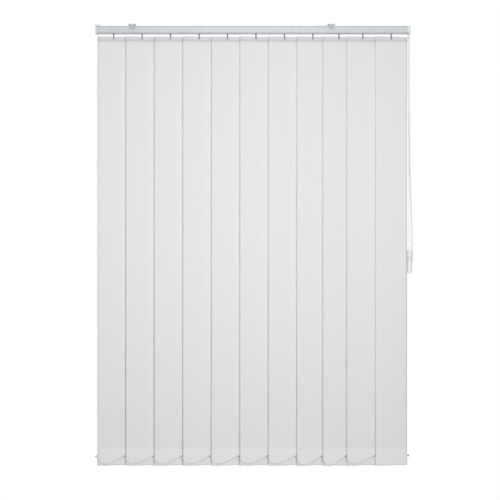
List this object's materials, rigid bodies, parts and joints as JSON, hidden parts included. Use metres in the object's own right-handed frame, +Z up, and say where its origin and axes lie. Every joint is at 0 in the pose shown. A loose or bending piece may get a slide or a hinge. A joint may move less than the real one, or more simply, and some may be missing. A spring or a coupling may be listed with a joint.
{
  "type": "vertical blind",
  "caption": "Vertical blind: hanging cloth vanes on carriers in a ceiling-fixed headrail, turned by a chain and drawn by a cord, linked at the foot by bead chains.",
  "frame": {"origin": "on the ceiling plane, midway between the two bracket screws", "axes": "+X along the headrail towards the control end, the room towards -Y, +Z up"},
  "size_m": [1.2338, 0.0471, 1.7108],
  "materials": {
    "rail": "satin pale grey powder coat",
    "cap": "moulded pale grey plastic",
    "clip_steel": "spring steel",
    "rod": "drawn aluminium",
    "carrier": "moulded white plastic",
    "stem": "moulded dark grey plastic",
    "vane_cloth": "coated pale grey polyester cloth",
    "weight": "moulded white plastic",
    "cord": "braided white polyester",
    "bead": "white plastic balls"
  },
  "bodies": {
    "root": {"headrail": "rail", "control_end_cap": "cap", "idle_end_cap": "cap", "left_bracket": "clip_steel", "right_bracket": "clip_steel", "cords_in_rail": "cord", "draw_cord": "cord", "control_chain": "bead", "cord_weight": "cap", "carrier_11": "carrier"},
    "truck_1": {"carrier_1": "carrier"},
    "truck_2": {"carrier_2": "carrier"},
    "truck_3": {"carrier_3": "carrier"},
    "truck_4": {"carrier_4": "carrier"},
    "truck_5": {"carrier_5": "carrier"},
    "truck_6": {"carrier_6": "carrier"},
    "truck_7": {"carrier_7": "carrier"},
    "truck_8": {"carrier_8": "carrier"},
    "truck_9": {"carrier_9": "carrier"},
    "truck_10": {"carrier_10": "carrier"},
    "vane_1": {"hanger_1": "stem", "slat_1": "vane_cloth", "weight_1": "weight"},
    "vane_2": {"hanger_2": "stem", "slat_2": "vane_cloth", "weight_2": "weight"},
    "vane_3": {"hanger_3": "stem", "slat_3": "vane_cloth", "weight_3": "weight"},
    "vane_4": {"hanger_4": "stem", "slat_4": "vane_cloth", "weight_4": "weight"},
    "vane_5": {"hanger_5": "stem", "slat_5": "vane_cloth", "weight_5": "weight"},
    "vane_6": {"hanger_6": "stem", "slat_6": "vane_cloth", "weight_6": "weight"},
    "vane_7": {"hanger_7": "stem", "slat_7": "vane_cloth", "weight_7": "weight"},
    "vane_8": {"hanger_8": "stem", "slat_8": "vane_cloth", "weight_8": "weight"},
    "vane_9": {"hanger_9": "stem", "slat_9": "vane_cloth", "weight_9": "weight"},
    "vane_10": {"hanger_10": "stem", "slat_10": "vane_cloth", "weight_10": "weight"},
    "vane_11": {"hanger_11": "stem", "slat_11": "vane_cloth", "weight_11": "weight"},
    "tilt_shaft": {"tilt_rod": "rod", "sprocket": "carrier"},
    "idle_wheel": {"idle_pulley": "carrier"},
    "left_lever": {"left_lock_lever": "clip_steel"},
    "right_lever": {"right_lock_lever": "clip_steel"},
    "front_links": {"front_chain": "bead"},
    "back_links": {"back_chain": "bead"}
  },
  "joints": [
    {"name": "traverse_1", "type": "slide", "parent": "root", "child": "truck_1", "axis": [1, 0, 0], "range_m": [0, 0.68], "deforming": ["front_chain", "back_chain"]},
    {"name": "traverse_2", "type": "slide", "parent": "root", "child": "truck_2", "axis": [1, 0, 0], "range_m": [0, 0.6108]},
    {"name": "traverse_3", "type": "slide", "parent": "root", "child": "truck_3", "axis": [1, 0, 0], "range_m": [0, 0.5411]},
    {"name": "traverse_4", "type": "slide", "parent": "root", "child": "truck_4", "axis": [1, 0, 0], "range_m": [0, 0.4714]},
    {"name": "traverse_5", "type": "slide", "parent": "root", "child": "truck_5", "axis": [1, 0, 0], "range_m": [0, 0.4017]},
    {"name": "traverse_6", "type": "slide", "parent": "root", "child": "truck_6", "axis": [1, 0, 0], "range_m": [0, 0.332]},
    {"name": "traverse_7", "type": "slide", "parent": "root", "child": "truck_7", "axis": [1, 0, 0], "range_m": [0, 0.2623]},
    {"name": "traverse_8", "type": "slide", "parent": "root", "child": "truck_8", "axis": [1, 0, 0], "range_m": [0, 0.1926]},
    {"name": "traverse_9", "type": "slide", "parent": "root", "child": "truck_9", "axis": [1, 0, 0], "range_m": [0, 0.1289]},
    {"name": "traverse_10", "type": "slide", "parent": "root", "child": "truck_10", "axis": [1, 0, 0], "range_m": [0, 0.0702]},
    {"name": "tilt_1", "type": "hinge", "parent": "truck_1", "child": "vane_1", "pos_m": [-0.459, 0, -0.036], "axis": [0, 0, 1], "range_deg": [0, 156]},
    {"name": "tilt_2", "type": "hinge", "parent": "truck_2", "child": "vane_2", "pos_m": [-0.3486, 0, -0.036], "axis": [0, 0, 1], "range_deg": [0, 156]},
    {"name": "tilt_3", "type": "hinge", "parent": "truck_3", "child": "vane_3", "pos_m": [-0.2382, 0, -0.036], "axis": [0, 0, 1], "range_deg": [0, 156]},
    {"name": "tilt_4", "type": "hinge", "parent": "truck_4", "child": "vane_4", "pos_m": [-0.1278, 0, -0.036], "axis": [0, 0, 1], "range_deg": [0, 156]},
    {"name": "tilt_5", "type": "hinge", "parent": "truck_5", "child": "vane_5", "pos_m": [-0.0174, 0, -0.036], "axis": [0, 0, 1], "range_deg": [0, 156]},
    {"name": "tilt_6", "type": "hinge", "parent": "truck_6", "child": "vane_6", "pos_m": [0.093, 0, -0.036], "axis": [0, 0, 1], "range_deg": [0, 156]},
    {"name": "tilt_7", "type": "hinge", "parent": "truck_7", "child": "vane_7", "pos_m": [0.2034, 0, -0.036], "axis": [0, 0, 1], "range_deg": [0, 156]},
    {"name": "tilt_8", "type": "hinge", "parent": "truck_8", "child": "vane_8", "pos_m": [0.3138, 0, -0.036], "axis": [0, 0, 1], "range_deg": [0, 156]},
    {"name": "tilt_9", "type": "hinge", "parent": "truck_9", "child": "vane_9", "pos_m": [0.4147, 0, -0.036], "axis": [0, 0, 1], "range_deg": [0, 156]},
    {"name": "tilt_10", "type": "hinge", "parent": "truck_10", "child": "vane_10", "pos_m": [0.5076, 0, -0.036], "axis": [0, 0, 1], "range_deg": [0, 156]},
    {"name": "tilt_11", "type": "hinge", "parent": "root", "child": "vane_11", "pos_m": [0.618, 0, -0.036], "axis": [0, 0, 1], "range_deg": [0, 156]},
    {"name": "front_chain_swivel", "type": "hinge", "parent": "vane_6", "child": "front_links", "pos_m": [0.02453, -0.01455, -1.672], "axis": [0, 0, 1], "range_deg": [-156, 0]},
    {"name": "back_chain_swivel", "type": "hinge", "parent": "vane_6", "child": "back_links", "pos_m": [0.16147, 0.01455, -1.672], "axis": [0, 0, 1], "range_deg": [-156, 0]},
    {"name": "shaft_turn", "type": "hinge", "parent": "root", "child": "tilt_shaft", "pos_m": [0, 0.0085, -0.0215], "axis": [1, 0, 0], "range_deg": [0, 780]},
    {"name": "idle_turn", "type": "hinge", "parent": "root", "child": "idle_wheel", "pos_m": [-0.507, -0.0095, -0.023], "axis": [0, 1, 0], "range_deg": [0, 8659]},
    {"name": "left_lever_turn", "type": "hinge", "parent": "root", "child": "left_lever", "pos_m": [-0.379, 0.007, -0.002], "axis": [0, 0, -1], "range_deg": [0, 40]},
    {"name": "right_lever_turn", "type": "hinge", "parent": "root", "child": "right_lever", "pos_m": [0.393, 0.007, -0.002], "axis": [0, 0, -1], "range_deg": [0, 40]}
  ],
  "couplings": [
    {"joint": "traverse_2", "follows": "traverse_1", "ratio": 0.89749},
    {"joint": "traverse_3", "follows": "traverse_1", "ratio": 0.79499},
    {"joint": "traverse_4", "follows": "traverse_1", "ratio": 0.69248},
    {"joint": "traverse_5", "follows": "traverse_1", "ratio": 0.58997},
    {"joint": "traverse_6", "follows": "traverse_1", "ratio": 0.48746},
    {"joint": "traverse_7", "follows": "traverse_1", "ratio": 0.38496},
    {"joint": "traverse_8", "follows": "traverse_1", "ratio": 0.28245},
    {"joint": "traverse_9", "follows": "traverse_1", "ratio": 0.18876},
    {"joint": "traverse_10", "follows": "traverse_1", "ratio": 0.10251},
    {"joint": "tilt_2", "follows": "tilt_1", "ratio": 1},
    {"joint": "tilt_3", "follows": "tilt_1", "ratio": 1},
    {"joint": "tilt_4", "follows": "tilt_1", "ratio": 1},
    {"joint": "tilt_5", "follows": "tilt_1", "ratio": 1},
    {"joint": "tilt_6", "follows": "tilt_1", "ratio": 1},
    {"joint": "tilt_7", "follows": "tilt_1", "ratio": 1},
    {"joint": "tilt_8", "follows": "tilt_1", "ratio": 1},
    {"joint": "tilt_9", "follows": "tilt_1", "ratio": 1},
    {"joint": "tilt_10", "follows": "tilt_1", "ratio": 1},
    {"joint": "tilt_11", "follows": "tilt_1", "ratio": 1},
    {"joint": "front_chain_swivel", "follows": "tilt_1", "ratio": -1},
    {"joint": "back_chain_swivel", "follows": "tilt_1", "ratio": -1},
    {"joint": "shaft_turn", "follows": "tilt_1", "ratio": 5},
    {"joint": "idle_turn", "follows": "traverse_1", "rad_per_m": 222.22}
  ]
}
